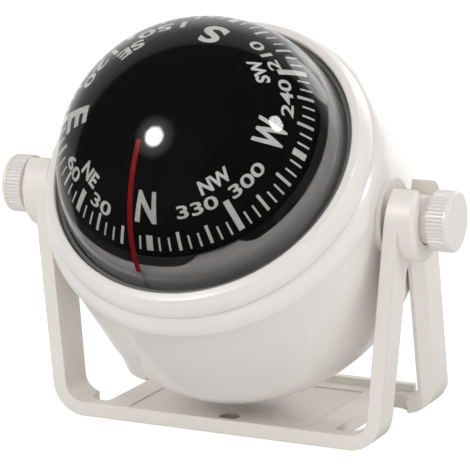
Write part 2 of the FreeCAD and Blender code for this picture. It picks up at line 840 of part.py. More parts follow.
def make_bezel_ring():
    """The white ring round the dome, with a lip over the gasket and a skirt in the bowl's rim."""
    body = new_body("bezel_ring", "housing")
    edge_radius = bezel_bore + S.bezel_edge_width
    edge_rise = S.bezel_lip - S.bezel_edge_drop
    side_in = bezel_foot_radius - edge_radius
    side_down = edge_rise + S.bezel_foot
    side_arc = (side_in * side_in + side_down * side_down) / (2 * side_in)
    skirt_bore = flange_radius + S.bezel_pocket_gap
    skirt_radius = skirt_bore + S.bezel_skirt_wall
    skirt_drop = S.bezel_foot + S.bezel_skirt_length
    revolve(body, [
        Corner(bezel_bore, up(gasket_foot_top)),
        Corner(bezel_bore, up(S.bezel_lip - S.bezel_lip_rounding)),
        Corner(bezel_bore + S.bezel_lip_rounding, up(S.bezel_lip), arc=-S.bezel_lip_rounding),
        Corner(bezel_bore + S.bezel_lip_width, up(S.bezel_lip - S.bezel_lip_drop)),
        Corner(edge_radius, up(edge_rise), arc=-S.bezel_crest_rounding),
        Corner(bezel_foot_radius, down(S.bezel_foot), arc=-side_arc),
        Corner(skirt_radius, down(S.bezel_foot)),
        Corner(skirt_radius, down(skirt_drop)),
        Corner(skirt_bore, down(skirt_drop)),
        Corner(skirt_bore, up(gasket_foot_top)),
    ])
    return body


def make_lens_dome():
    """The clear dome with its flange."""
    body = new_body("lens_dome", "housing")
    revolve(body, [
        Corner(ZERO, up(S.dome_radius)),
        Corner(S.dome_radius, up(ZERO), arc=-S.dome_radius),
        Corner(S.dome_radius, down(S.dome_skirt)),
        Corner(flange_radius, down(S.dome_skirt)),
        Corner(flange_radius, down(seal_drop)),
        Corner(dome_bore, down(seal_drop)),
        Corner(dome_bore, up(ZERO)),
        Corner(ZERO, up(dome_bore), arc=dome_bore),
    ])
    return body


def make_dome_gasket():
    """The dark gasket between the dome and the bezel ring."""
    body = new_body("dome_gasket", "housing")
    bore = S.dome_radius + S.gasket_bore_gap
    revolve(body, [
        Corner(bore, down(S.dome_skirt)),
        Corner(flange_radius, down(S.dome_skirt)),
        Corner(flange_radius, up(gasket_foot_top)),
        Corner(bezel_bore - S.gasket_lip_gap, up(gasket_foot_top)),
        Corner(bezel_bore - S.gasket_lip_gap, up(S.gasket_top)),
        Corner(bore, up(S.gasket_top)),
    ])
    return body


def make_capsule_seal():
    """The flat ring that seals the dome's flange on the capsule bowl."""
    body = new_body("capsule_seal", "housing")
    rings = [Ring(ZERO, ZERO, flange_radius), Ring(ZERO, ZERO, seal_bore)]
    extrude(body, "XY_Plane", rings, down(capsule_flange_drop), S.seal_thickness)
    return body


def make_capsule_bowl():
    """The cup that closes the liquid's space, with the column that holds the pivot pin."""
    body = new_body("capsule_bowl", "housing")
    inner = capsule_radius - S.capsule_wall
    inner_floor = down(S.capsule_drop - S.capsule_floor)
    revolve(body, [
        Corner(inner, down(capsule_flange_drop)),
        Corner(flange_radius, down(capsule_flange_drop)),
        Corner(flange_radius, down(ledge_drop)),
        Corner(capsule_radius, down(ledge_drop)),
        Corner(capsule_radius, down(S.capsule_drop), S.capsule_rounding),
        Corner(ZERO, down(S.capsule_drop)),
        Corner(ZERO, inner_floor),
        Corner(inner, inner_floor, S.capsule_rounding - S.capsule_wall),
    ])
    column = [Ring(ZERO, ZERO, S.column_radius)]
    column_length = S.capsule_drop - S.capsule_floor / 2 - S.column_drop
    extrude(body, "XY_Plane", column, down(S.column_drop) - column_length, column_length)
    seat = [Ring(ZERO, ZERO, S.pivot_pin_radius)]
    seat_start = down(S.column_drop + S.pivot_seat_depth)
    extrude(body, "XY_Plane", seat, seat_start, S.pivot_seat_depth + S.overrun, cut=True)
    through = S.capsule_floor + 2 * S.overrun
    floor_start = down(S.capsule_drop + S.overrun)
    holes = [Ring(plug_circle * sine(S.plug_turn), -plug_circle * cosine(S.plug_turn), S.plug_radius)]
    extrude(body, "XY_Plane", holes, floor_start, through, cut=True)
    port_ring = [Ring(ZERO, S.port_circle, S.port_radius)]
    port = extrude(body, "XY_Plane", port_ring, floor_start, through, cut=True)
    repeat(body, [port], "Z_Axis", S.ports)
    bore = [Ring(ZERO, ring_screw_circle, S.ring_screw_radius)]
    bore_depth = S.overrun + S.ring_screw_length - S.ring_thickness - S.diaphragm_thickness
    screw_bore = extrude(body, "XY_Plane", bore, floor_start, bore_depth, cut=True)
    repeat(body, [screw_bore], "Z_Axis", S.ring_screws)
    return body


def make_liner_ring():
    """The grey ring under the card, with three long windows and a skirt down to the capsule bowl."""
    body = new_body("liner_ring", "housing")
    inner = liner_radius - S.liner_wall
    revolve(body, [
        Corner(liner_bore, up(S.liner_rise)),
        Corner(liner_radius, up(S.liner_rise), S.liner_rounding),
        Corner(liner_radius, down(capsule_flange_drop)),
        Corner(inner, down(capsule_flange_drop)),
        Corner(inner, up(S.liner_rise - S.liner_thickness)),
        Corner(liner_bore, up(S.liner_rise - S.liner_thickness)),
    ])
    end = (liner_window_outer - liner_window_inner) / 2
    middle = liner_window_inner + end
    cap_sine = end / middle
    cap_cosine = root(sized(1) - cap_sine * cap_sine)
    half = S.liner_window_angle / 2
    across = sine(half) * cap_cosine - cosine(half) * cap_sine
    along = cosine(half) * cap_cosine + sine(half) * cap_sine
    window = [
        Corner(liner_window_inner * across, -liner_window_inner * along, arc=liner_window_inner),
        Corner(liner_window_outer * across, -liner_window_outer * along, arc=-end),
        Corner(-liner_window_outer * across, -liner_window_outer * along, arc=-liner_window_outer),
        Corner(-liner_window_inner * across, -liner_window_inner * along, arc=-end),
    ]
    start = up(S.liner_rise - S.liner_thickness - S.overrun)
    depth = S.liner_thickness + 2 * S.overrun
    pocket = extrude(
        body, "XY_Plane", [window], start, depth, cut=True, turn=S.liner_window_turn, about="z"
    )
    repeat(body, [pocket], "Z_Axis", S.liner_windows)
    return body


def make_lubber_line():
    """The thin red line that the card is read against, curved along the inside of the dome."""
    body = new_body("lubber_line", "housing")
    outer = dome_bore - S.lubber_gap
    inner = outer - S.lubber_thickness
    foot = S.lubber_foot_rise
    foot_outer = root(outer * outer - foot * foot)
    foot_inner = root(inner * inner - foot * foot)
    along = cosine(S.lubber_reach)
    across = sine(S.lubber_reach)
    strip = [
        Corner(-liner_radius, up(ZERO)),
        Corner(-liner_radius, up(foot)),
        Corner(-foot_inner, up(foot)),
        Corner(-inner * along, up(inner * across), arc=-inner),
        Corner(-outer * along, up(outer * across)),
        Corner(-foot_outer, up(foot), arc=outer),
        Corner(-outer, up(ZERO), arc=outer),
    ]
    extrude(body, "YZ_Plane", [strip], -S.lubber_width / 2, S.lubber_width, turn=S.lubber_turn)
    return body


card_radius = root(card_edge_radius * card_edge_radius
                   + (S.card_edge_rise + S.card_centre_drop) * (S.card_edge_rise + S.card_centre_drop))
card_inside = card_radius - S.card_thickness
float_top = root(card_inside * card_inside - float_radius * float_radius)
float_rise = float_top - S.card_centre_drop - S.float_gap


def make_compass_card():
    """The domed black card with a hub under its top."""
    body = new_body("compass_card", "housing")
    edge_height = S.card_edge_rise + S.card_centre_drop
    inner_edge = root(card_inside * card_inside - edge_height * edge_height)
    hub_top = root(card_inside * card_inside - S.hub_radius * S.hub_radius) - S.card_centre_drop
    revolve(body, [
        Corner(ZERO, up(card_radius - S.card_centre_drop)),
        Corner(card_edge_radius, up(S.card_edge_rise), arc=-card_radius),
        Corner(inner_edge, up(S.card_edge_rise)),
        Corner(S.hub_radius, up(hub_top), arc=card_inside),
        Corner(S.hub_radius, up(float_rise)),
        Corner(ZERO, up(float_rise)),
    ])
    return body


def make_card_float():
    """The disc that makes the card nearly weightless in the liquid."""
    body = new_body("card_float", "housing")
    rings = [Ring(ZERO, ZERO, float_radius), Ring(ZERO, ZERO, S.jewel_radius)]
    extrude(body, "XY_Plane", rings, up(float_rise - S.float_height), S.float_height)
    return body


def make_card_magnets():
    """Two bar magnets under the float, along the card's north line."""
    body = new_body("card_magnets", "housing")
    body.AllowCompound = True
    bars = []
    for side in (1, -1):
        centre = side * S.magnet_spread
        half = S.magnet_width / 2
        bars.append(box_outline(centre - half, centre + half, -S.magnet_length / 2, S.magnet_length / 2))
    top = float_rise - S.float_height
    start = up(top - S.magnet_height)
    extrude(body, "XY_Plane", bars, start, S.magnet_height, turn=S.magnet_turn, about="z")
    return body


def make_jewel_cup():
    """The cup at the card's middle that rests on the pivot pin's point."""
    body = new_body("jewel_cup", "housing")
    bottom = float_rise - S.jewel_length
    seat = bottom + S.jewel_bore_depth
    revolve(body, [
        Corner(ZERO, up(float_rise)),
        Corner(S.jewel_radius, up(float_rise)),
        Corner(S.jewel_radius, up(bottom)),
        Corner(S.jewel_bore, up(bottom)),
        Corner(S.jewel_bore, up(seat)),
        Corner(ZERO, up(seat)),
    ])
    return body


def make_pivot_pin():
    """The steel pin whose point carries the card."""
    body = new_body("pivot_pin", "housing")
    tip = float_rise - S.jewel_length + S.jewel_bore_depth - S.pivot_tip_gap
    revolve(body, [
        Corner(ZERO, up(tip)),
        Corner(S.pivot_pin_radius, up(tip - S.pivot_tip_length)),
        Corner(S.pivot_pin_radius, down(S.column_drop + S.pivot_seat_depth)),
        Corner(ZERO, down(S.column_drop + S.pivot_seat_depth)),
    ])
    return body


def make_expansion_diaphragm():
    """The rubber dish under the capsule that gives way when the liquid warms."""
    body = new_body("expansion_diaphragm", "housing")
    top = S.capsule_drop
    bottom = S.capsule_drop + S.diaphragm_thickness
    revolve(body, [
        Corner(diaphragm_radius, down(top)),
        Corner(ring_bore, down(top)),
        Corner(diaphragm_flat, down(top + S.diaphragm_dish)),
        Corner(ZERO, down(top + S.diaphragm_dish)),
        Corner(ZERO, down(bottom + S.diaphragm_dish)),
        Corner(diaphragm_flat, down(bottom + S.diaphragm_dish)),
        Corner(ring_bore, down(bottom)),
        Corner(diaphragm_radius, down(bottom)),
    ])
    bore = [Ring(ZERO, ring_screw_circle, S.ring_screw_radius)]
    through = S.diaphragm_thickness + 2 * S.overrun
    hole = extrude(body, "XY_Plane", bore, down(bottom + S.overrun), through, cut=True)
    repeat(body, [hole], "Z_Axis", S.ring_screws)
    return body


def make_diaphragm_ring():
    """The flat ring that clamps the diaphragm's rim."""
    body = new_body("diaphragm_ring", "housing")
    bottom = S.capsule_drop + S.diaphragm_thickness + S.ring_thickness
    rings = [Ring(ZERO, ZERO, diaphragm_radius), Ring(ZERO, ZERO, ring_bore)]
    extrude(body, "XY_Plane", rings, down(bottom), S.ring_thickness)
    bore = [Ring(ZERO, ring_screw_circle, S.ring_screw_radius)]
    through = S.ring_thickness + 2 * S.overrun
    hole = extrude(body, "XY_Plane", bore, down(bottom + S.overrun), through, cut=True)
    repeat(body, [hole], "Z_Axis", S.ring_screws)
    return body


def make_ring_screws():
    """The small screws that hold the diaphragm's ring."""
    body = new_body("ring_screws", "housing")
    body.AllowCompound = True
    head_top = S.capsule_drop + S.diaphragm_thickness + S.ring_thickness
    shank = [Ring(ZERO, ring_screw_circle, S.ring_screw_radius)]
    head = [Ring(ZERO, ring_screw_circle, S.ring_head_radius)]
    stem = extrude(body, "XY_Plane", shank, down(head_top), S.ring_screw_length)
    cap = extrude(body, "XY_Plane", head, down(head_top + S.ring_head_height), S.ring_head_height)
    repeat(body, [stem, cap], "Z_Axis", S.ring_screws)
    return body


def make_filler_plug():
    """The plug of the hole that the liquid is filled through."""
    body = new_body("filler_plug", "housing")
    x = plug_circle * sine(S.plug_turn)
    y = -plug_circle * cosine(S.plug_turn)
    stem = [Ring(x, y, S.plug_radius)]
    head = [Ring(x, y, S.plug_head_radius)]
    extrude(body, "XY_Plane", head, down(S.capsule_drop + S.plug_head_height), S.plug_head_height)
    extrude(body, "XY_Plane", stem, down(S.capsule_drop), S.capsule_floor)
    return body


def make_bottom_cover():
    """The round cover under the bowl, with sunk holes for its screws."""
    body = new_body("bottom_cover", "housing")
    bottom = foot_drop + S.cover_thickness
    revolve(body, [
        Corner(ZERO, down(foot_drop)),
        Corner(cover_radius, down(foot_drop)),
        Corner(cover_radius, down(bottom), S.cover_rounding),
        Corner(ZERO, down(bottom)),
    ])
    bores = []
    sinks = []
    for index in range(int(S.cover_screws.value)):
        x, y = screw_place(index)
        bores.append(Ring(x, y, S.cover_screw_radius))
        sinks.append(Ring(x, y, S.cover_head_radius + S.cover_head_gap))
    extrude(body, "XY_Plane", bores, down(bottom + S.overrun), S.cover_thickness + 2 * S.overrun, cut=True)
    extrude(body, "XY_Plane", sinks, down(bottom + S.overrun), S.cover_head_depth + S.overrun, cut=True)
    return body


def make_cover_screws():
    """The screws of the bottom cover, with a cross in each head."""
    body = new_body("cover_screws", "housing")
    body.AllowCompound = True
    seat = foot_drop + S.cover_thickness - S.cover_head_depth
    head_bottom = seat + S.cover_head_height
    heads = []
    shanks = []
    bars = []
    for index in range(int(S.cover_screws.value)):
        x, y = screw_place(index)
        heads.append(Ring(x, y, S.cover_head_radius))
        shanks.append(Ring(x, y, S.cover_screw_radius))
        bars.append((x, y))
    extrude(body, "XY_Plane", heads, down(head_bottom), S.cover_head_height)
    extrude(body, "XY_Plane", shanks, down(seat), S.cover_screw_length)
    half = S.cross_recess_width / 2
    reach = S.cover_head_radius / 2
    start = down(head_bottom + S.overrun)
    depth = S.cross_recess_depth + S.overrun
    lengthwise = [box_outline(x - half, x + half, y - reach, y + reach) for x, y in bars]
    crosswise = [box_outline(x - reach, x + reach, y - half, y + half) for x, y in bars]
    extrude(body, "XY_Plane", lengthwise, start, depth, cut=True)
    extrude(body, "XY_Plane", crosswise, start, depth, cut=True)
    return body


def make_insert(label, side):
    """The flanged brass insert that a knob's stud screws into."""
    body = new_body(label, "housing")
    bore = S.stud_radius + S.stud_running_gap
    flange_end = inner_boss_end - S.insert_flange_thickness
    revolve(body, [
        Corner(side * flange_end, bore),
        Corner(side * flange_end, S.insert_flange_radius),
        Corner(side * inner_boss_end, S.insert_flange_radius),
        Corner(side * inner_boss_end, S.insert_radius),
        Corner(side * side_pad_face, S.insert_radius),
        Corner(side * side_pad_face, bore),
    ], axis="H_Axis")
    return body


def make_stud(label, side):
    """The steel stud between a knob and its insert."""
    body = new_body(label, "axle")
    revolve(body, [
        Corner(side * stud_inner_end, ZERO),
        Corner(side * stud_inner_end, S.stud_radius - S.stud_tip),
        Corner(side * (stud_inner_end + S.stud_tip), S.stud_radius),
        Corner(side * stud_outer_end, S.stud_radius),
        Corner(side * stud_outer_end, ZERO),
    ], axis="H_Axis")
    return body


def make_knob(label, side):
    """A hand knob: ribbed head, neck that fills the arm's slot, and the bore for its stud."""
    body = new_body(label, "axle")
    bore = S.stud_radius + S.stud_running_gap
    bore_end = stud_outer_end + S.stud_end_gap
    revolve(body, [
        Corner(side * neck_end, bore),
        Corner(side * neck_end, S.neck_radius),
        Corner(side * knob_inner_face, S.neck_radius),
        Corner(side * knob_inner_face, S.knob_radius),
        Corner(side * knob_outer_face, S.knob_radius, S.knob_rounding),
        Corner(side * knob_outer_face, ZERO),
        Corner(side * bore_end, ZERO),
        Corner(side * bore_end, bore),
    ], axis="H_Axis")
    half = S.knob_groove_width / 2
    notch = [
        Corner(-half, S.knob_radius + S.overrun),
        Corner(-half, S.knob_radius),
        Corner(ZERO, S.knob_radius - S.knob_groove_depth),
        Corner(half, S.knob_radius),
        Corner(half, S.knob_radius + S.overrun),
    ]
    length = knob_outer_face - S.knob_rim - knob_inner_face + S.overrun
    near = knob_inner_face - S.overrun
    start = near if side > 0 else -(near + length)
    groove = extrude(body, "YZ_Plane", [notch], start, length, cut=True)
    repeat(body, [groove], "X_Axis", S.knob_ribs)
    return body


parts = [
    make_bracket(),
    make_housing_bowl(),
    make_bezel_ring(),
    make_lens_dome(),
    make_dome_gasket(),
    make_capsule_seal(),
    make_capsule_bowl(),
    make_liner_ring(),
    make_lubber_line(),
    make_compass_card(),
    make_card_float(),
    make_card_magnets(),
    make_jewel_cup(),
    make_pivot_pin(),
    make_expansion_diaphragm(),
    make_diaphragm_ring(),
    make_ring_screws(),
    make_filler_plug(),
    make_bottom_cover(),
    make_cover_screws(),
    make_insert("insert_right", 1),
    make_insert("insert_left", -1),
    make_stud("knob_stud_right", 1),
    make_stud("knob_stud_left", -1),
    make_knob("clamp_knob_right", 1),
    make_knob("clamp_knob_left", -1),
]
doc.recompute()

for thing in doc.Objects:
    if "Invalid" in thing.State or "Error" in thing.State:
        raise RuntimeError("%s is %s" % (thing.Name, thing.State))
for part in parts:
    if part.Shape.isNull() or not part.Shape.isValid() or not part.Shape.Solids:
        raise RuntimeError("%s has no valid solid" % part.Label)

os.makedirs("parts", exist_ok=True)
for part in parts:
    part.Shape.exportStep("parts/%s.step" % part.Label)
    print("%-20s %2d solid(s) %9.1f mm3" % (part.Label, len(part.Shape.Solids), part.Shape.Volume))
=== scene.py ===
import json
import math

import bmesh
import bpy
import numpy as np
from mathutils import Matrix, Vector


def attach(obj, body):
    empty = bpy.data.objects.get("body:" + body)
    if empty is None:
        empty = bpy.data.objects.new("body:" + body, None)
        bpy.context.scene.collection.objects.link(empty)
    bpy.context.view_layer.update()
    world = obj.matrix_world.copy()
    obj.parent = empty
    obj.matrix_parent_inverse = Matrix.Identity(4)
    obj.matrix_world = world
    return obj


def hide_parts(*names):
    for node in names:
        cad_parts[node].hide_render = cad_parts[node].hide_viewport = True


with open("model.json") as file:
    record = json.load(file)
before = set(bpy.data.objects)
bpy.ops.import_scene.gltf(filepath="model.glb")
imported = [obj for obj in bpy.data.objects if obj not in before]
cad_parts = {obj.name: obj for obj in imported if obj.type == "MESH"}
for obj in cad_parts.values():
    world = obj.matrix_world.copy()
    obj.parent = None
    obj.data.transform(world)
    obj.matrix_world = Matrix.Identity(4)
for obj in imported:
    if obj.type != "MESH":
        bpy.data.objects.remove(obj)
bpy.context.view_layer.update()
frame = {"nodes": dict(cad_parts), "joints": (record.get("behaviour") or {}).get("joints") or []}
nodes = frame["nodes"]


# The mounting bracket. It is one injection moulding of off-white ABS: a base plate with two screw
# holes and a forked leg up each side. The mould leaves its edges a little rounded and its faces
# smooth, with a faint unevenness that shows in the gloss.

MM = 0.001
# The walls of the foot plate's two screw holes are painted dark brown: painted shade, where little
# light reaches down the holes.
PLATE_HOLES = ((1.7 * MM, -3.1 * MM), (1.7 * MM, 18.9 * MM))
HOLE_RADIUS = 1.83 * MM
HOLE_SHADE_BROWN = (0.36, 0.32, 0.25, 1)


class Value:
    """A node's output. A sum, difference or product with it adds a Math node."""

    def __init__(self, paint, socket):
        self.paint = paint
        self.socket = socket

    def math(self, operation, first, second):
        return self.paint.node("ShaderNodeMath", {"operation": operation}, {0: first, 1: second})

    def __add__(self, other):
        return self.math("ADD", self, other)

    def __sub__(self, other):
        return self.math("SUBTRACT", self, other)

    def __mul__(self, other):
        return self.math("MULTIPLY", self, other)

    def __rsub__(self, other):
        return self.math("SUBTRACT", other, self)

    __radd__ = __add__
    __rmul__ = __mul__


class Paint:
    """The nodes of a material, a lamp or the world."""

    def __init__(self, owner):
        self.owner = owner
        owner.use_nodes = True
        self.tree = owner.node_tree
        self.tree.nodes.clear()

    def node(self, kind, settings=(), sockets=(), output=0):
        """Adds a node: its settings first, then the values or links of its sockets."""
        made = self.tree.nodes.new(kind)
        for name, setting in dict(settings).items():
            if name == "stops":
                while len(made.color_ramp.elements) < len(setting):
                    made.color_ramp.elements.new(1)
                for element, (place, shade) in zip(made.color_ramp.elements, setting):
                    element.position = place
                    element.color = (shade, shade, shade, 1)
            else:
                setattr(made, name, setting)
        for name, value in dict(sockets).items():
            if isinstance(value, Value):
                self.tree.links.new(value.socket, made.inputs[name])
            else:
                made.inputs[name].default_value = value
        if made.outputs:
            return Value(self, made.outputs[output])

    def noise(self, lumps, detail=2.0, roughness=0.5):
        """Noise from 0 to 1 with this many lumps to the metre, fixed to the piece."""
        place = self.node("ShaderNodeTexCoord", output="Object")
        return self.node("ShaderNodeTexNoise", {}, {
            "Vector": place, "Scale": lumps, "Detail": detail, "Roughness": roughness,
        })

    def mix(self, share, first, second):
        """The colour that lies this share of the way from the first to the second."""
        return self.node(
            "ShaderNodeMix", {"data_type": "RGBA"}, {0: share, 6: first, 7: second}, output=2
        )

    def ramp(self, value, *stops):
        """The value carried through a ramp of (place, level) stops."""
        return self.node("ShaderNodeValToRGB", {"stops": stops}, {"Fac": value})

    def done(self, surface):
        self.node("ShaderNodeOutputMaterial", {}, {"Surface": surface})
        return self.owner


def moulded(name, colour, shade, roughness, softening, coat=0.0, gloss=0.5, holes_with_painted_shade=()):
    """Moulded plastic or rubber: softened edges, a faint flow cloud, specks and a fine ripple.

    Within the hole radius of each listed hole's middle the plastic is painted dark brown: painted
    shade down the hole.
    """
    paint = Paint(bpy.data.materials.new(name))
    cloud = paint.noise(70, 3)
    specks = paint.ramp(paint.noise(2600, 1), (0.68, 0), (0.80, 1))
    base = paint.mix(cloud, colour + (1,), shade + (1,))
    base = paint.mix(specks * 0.10, base, tuple(0.55 * part for part in shade) + (1,))
    # Painted shade: inside each listed hole the colour turns dark brown.
    for hole_x, hole_y in holes_with_painted_shade:
        place_on_plate = paint.node("ShaderNodeVectorMath", {"operation": "MULTIPLY"}, {
            0: paint.node("ShaderNodeTexCoord", output="Object"), 1: (1, 1, 0),
        })
        from_middle = paint.node("ShaderNodeVectorMath", {"operation": "DISTANCE"}, {
            0: place_on_plate, 1: (hole_x, hole_y, 0),
        }, output="Value")
        in_hole = paint.node("ShaderNodeMath", {"operation": "LESS_THAN"}, {
            0: from_middle, 1: HOLE_RADIUS,
        })
        base = paint.mix(in_hole, base, HOLE_SHADE_BROWN)
    soft_edge = paint.node("ShaderNodeBevel", {"samples": 6}, {"Radius": softening})
    ripple = paint.noise(420, 2) * 0.8 + paint.noise(3000, 1) * 0.2
    bump = paint.node("ShaderNodeBump", {}, {
        "Strength": 0.10, "Distance": 0.2 * MM, "Height": ripple, "Normal": soft_edge,
    })
    return paint.done(paint.node("ShaderNodeBsdfPrincipled", {}, {
        "Base Color": base,
        "Roughness": cloud * 0.12 + (roughness - 0.06),
        "Specular IOR Level": gloss,
        "Coat Weight": coat,
        "Coat Roughness": 0.10,
        "Normal": bump,
    }))


def piece_from(name, points, faces, material, smooth=True):
    """A mesh object at the origin whose place is in its points."""
    mesh = bpy.data.meshes.new(name)
    mesh.from_pydata(points, [], faces)
    mesh.polygons.foreach_set("use_smooth", np.full(len(mesh.polygons), smooth))
    mesh.materials.append(material)
    mesh.update()
    piece = bpy.data.objects.new(name, mesh)
    bpy.context.scene.collection.objects.link(piece)
    return piece


def smoothed(node, material, crease=34):
    """A copy of a CAD node with its doubled points merged, shaded smooth up to a crease angle.

    Two corners become one where their places are equal. An edge stays sharp where its faces turn
    by more than the crease, in degrees, and each face counts by its area in the smooth shading.
    """
    source = nodes[node].data
    places = np.empty(len(source.vertices) * 3)
    source.vertices.foreach_get("co", places)
    corners = np.empty(len(source.loops), int)
    source.loops.foreach_get("vertex_index", corners)
    places, merged = np.unique(places.reshape(-1, 3), axis=0, return_inverse=True)
    faces = merged.reshape(-1)[corners].reshape(-1, 3)
    faces = faces[(faces != np.roll(faces, 1, axis=1)).all(axis=1)]
    piece = piece_from(node + "_shell", places, faces, material)
    piece.data.set_sharp_from_angle(angle=math.radians(crease))
    shading = piece.modifiers.new("even_shading", "WEIGHTED_NORMAL")
    shading.keep_sharp = True
    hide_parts(node)
    return piece


# The bracket's plastic carries painted shade in its two screw holes.
bracket_white = moulded(
    "bracket_white", (0.81, 0.775, 0.72), (0.77, 0.73, 0.67), 0.42, 0.3 * MM,
    holes_with_painted_shade=PLATE_HOLES,
)
bracket = smoothed("mounting_bracket", bracket_white)
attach(bracket, "bracket")


# The housing. A glossy off-white ABS bowl carries two flat-faced bosses for the clamp knobs, and a
# turned-looking bezel ring snaps over its mouth. A flat cover closes it behind with three screws.

housing_white = moulded(
    "housing_white", (0.82, 0.785, 0.75), (0.78, 0.745, 0.705), 0.30, 0.3 * MM, coat=0.35
)
for node in ("housing_bowl", "bezel_ring", "bottom_cover"):
    shell = smoothed(node, housing_white)
    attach(shell, "housing")


# The clamp knobs. Each is a small ribbed thumb knob of the same white plastic, moulded round the
# head of a threaded steel stud, which screws into a brass insert in the housing's boss.

knob_white = moulded(
    "knob_white", (0.80, 0.76, 0.73), (0.75, 0.71, 0.68), 0.38, 0.15 * MM, coat=0.1
)


def metal(name, colour, dull, roughness):
    """Plain or plated metal: a bright and a dull tone in streaky patches and fine scratches."""
    paint = Paint(bpy.data.materials.new(name))
    patches = paint.noise(300, 4, 0.6)
    scratches = paint.noise(5200, 2)
    bump = paint.node("ShaderNodeBump", {}, {
        "Strength": 0.15, "Distance": 0.05 * MM, "Height": scratches,
    })
    return paint.done(paint.node("ShaderNodeBsdfPrincipled", {}, {
        "Base Color": paint.mix(patches, colour + (1,), dull + (1,)),
        "Metallic": 1.0,
        "Roughness": patches * 0.15 + roughness,
        "Normal": bump,
    }))


steel = metal("plated_steel", (0.62, 0.61, 0.60), (0.44, 0.43, 0.42), 0.25)
brass = metal("turned_brass", (0.74, 0.56, 0.27), (0.50, 0.36, 0.17), 0.28)
for side in ("right", "left"):
    knob = smoothed("clamp_knob_" + side, knob_white, 30)
    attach(knob, "knob_" + side)


def painted(material, *names):
    """Gives CAD nodes that stay as they are their finish."""
    for name in names:
        nodes[name].data.materials.clear()
        nodes[name].data.materials.append(material)


painted(steel, "knob_stud_right", "knob_stud_left", "cover_screws", "ring_screws", "pivot_pin")
painted(brass, "insert_right", "insert_left", "jewel_cup")


# The capsule below the dome. A moulded bowl holds the liquid, closed by the dome's flange on two
# dark rubber rings. A thin rubber diaphragm at its foot, held by a black clamping ring, takes up
# the liquid's expansion, and a black plug closes the filling hole.

smoke_black = moulded(
    "smoke_black", (0.020, 0.019, 0.019), (0.030, 0.028, 0.026), 0.40, 0.2 * MM
)
ring_rubber = moulded("ring_rubber", (0.16, 0.155, 0.15), (0.12, 0.115, 0.11), 0.55, 0.2 * MM)
painted(smoke_black, "diaphragm_ring", "filler_plug")
painted(ring_rubber, "dome_gasket", "capsule_seal", "expansion_diaphragm")


# The liner ring. A grey moulded ring stands in the liquid round the card's edge, with three long
# windows, and carries the lubber line: a thin strip in front of the dial, red above its foot. The
# capsule's bowl is of the same grey plastic.

MATT_UNDER_OIL = 0.06
LINER_SHADE = (0.225, 0.22, 0.218)
liner_grey = moulded(
    "liner_grey", (0.27, 0.265, 0.265), LINER_SHADE, 0.55, 0.2 * MM, gloss=MATT_UNDER_OIL
)
liner = smoothed("liner_ring", liner_grey)
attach(liner, "housing")
painted(liner_grey, "capsule_bowl")

turning = next(joint for joint in frame["joints"] if joint["name"] == "card_turn")
dome_middle = np.array(turning["pos_m"])
axis_y, axis_z = turning["axis"][1:]
across_up_along = np.array([[1, 0, 0], [0, axis_z, -axis_y], [0, axis_y, axis_z]])
RED_FOOT = 4.5 * MM

strip = Paint(bpy.data.materials.new("lubber_red"))
tint = strip.noise(500, 2)
along = strip.node("ShaderNodeVectorMath", {"operation": "DOT_PRODUCT"}, {
    0: strip.node("ShaderNodeTexCoord", output="Object"), 1: (0, axis_y, axis_z),
}, output="Value")
foot_level = float(dome_middle @ (0, axis_y, axis_z)) + RED_FOOT
is_red = strip.node("ShaderNodeMath", {"operation": "GREATER_THAN"}, {0: along, 1: foot_level})
red = strip.mix(tint, (0.30, 0.004, 0.008, 1), (0.20, 0.003, 0.006, 1))
lubber_red = strip.done(strip.node("ShaderNodeBsdfPrincipled", {}, {
    "Base Color": strip.mix(is_red, LINER_SHADE + (1,), red),
    "Roughness": tint * 0.1 + 0.45,
    "Specular IOR Level": MATT_UNDER_OIL,
}))
painted(lubber_red, "lubber_line")


# The compass card. A thin black plastic dome floats on the pivot, with its rose printed in white
# ink: letters at the eight points, numbers every 30 degrees and a tick every 5 degrees.

CARD_WALL = 0.8 * MM
CARD_TURN = -2.9
INK_LIFT = 0.03 * MM
TICK_END = 18.95 * MM
LONGEST_EDGE = 0.12


def placed(across, up, along):
    """Places across (+X), up the dial's face and along the compass axis, as rows in the frame."""
    in_the_housing = np.stack(np.broadcast_arrays(across, up, along), -1).reshape(-1, 3)
    return in_the_housing @ across_up_along + dome_middle


def about_axis(node):
    """Each corner of a node as its distance from the compass axis and its height along it."""
    mesh = nodes[node].data
    places = np.empty(len(mesh.vertices) * 3)
    mesh.vertices.foreach_get("co", places)
    turned = (places.reshape(-1, 3) - dome_middle) @ across_up_along.T
    return np.hypot(turned[:, 0], turned[:, 1]), turned[:, 2]


def grid_faces(rows, columns, closed):
    """The quads between neighbours on a grid; closed joins the last column to the first."""
    row = np.arange(rows - 1)[:, None] * columns
    column = np.arange(columns if closed else columns - 1)
    following = (column + 1) % columns
    corners = (row + column, row + following, row + columns + following, row + columns + column)
    return np.stack(corners, -1).reshape(-1, 4)


def turned_piece(name, radius, height, material, segments=180):
    """A closed solid of revolution about the compass axis.

    Point (i, j) is radius_i times (sin a_j, -cos a_j) across the axis and height_i along it, with
    a_j evenly round the circle. Rows of no radius close to one point.
    """
    angle = np.arange(segments) * (2 * math.pi / segments)
    points = placed(
        radius[:, None] * np.sin(angle), -radius[:, None] * np.cos(angle), height[:, None]
    )
    piece = piece_from(name, points, grid_faces(len(radius), segments, True), material)
    work = bmesh.new()
    work.from_mesh(piece.data)
    bmesh.ops.remove_doubles(work, verts=work.verts, dist=1e-7)
    bmesh.ops.recalc_face_normals(work, faces=work.faces)
    work.to_mesh(piece.data)
    work.free()
    piece.data.set_sharp_from_angle(angle=math.radians(30))
    return piece


card_away, card_height = about_axis("compass_card")
card_edge = card_away.max()
card_top = card_height.max()
card_rim = card_height[card_away > card_edge - 0.05 * MM].max()
card_ball = (card_edge ** 2 + (card_top - card_rim) ** 2) / (2 * (card_top - card_rim))


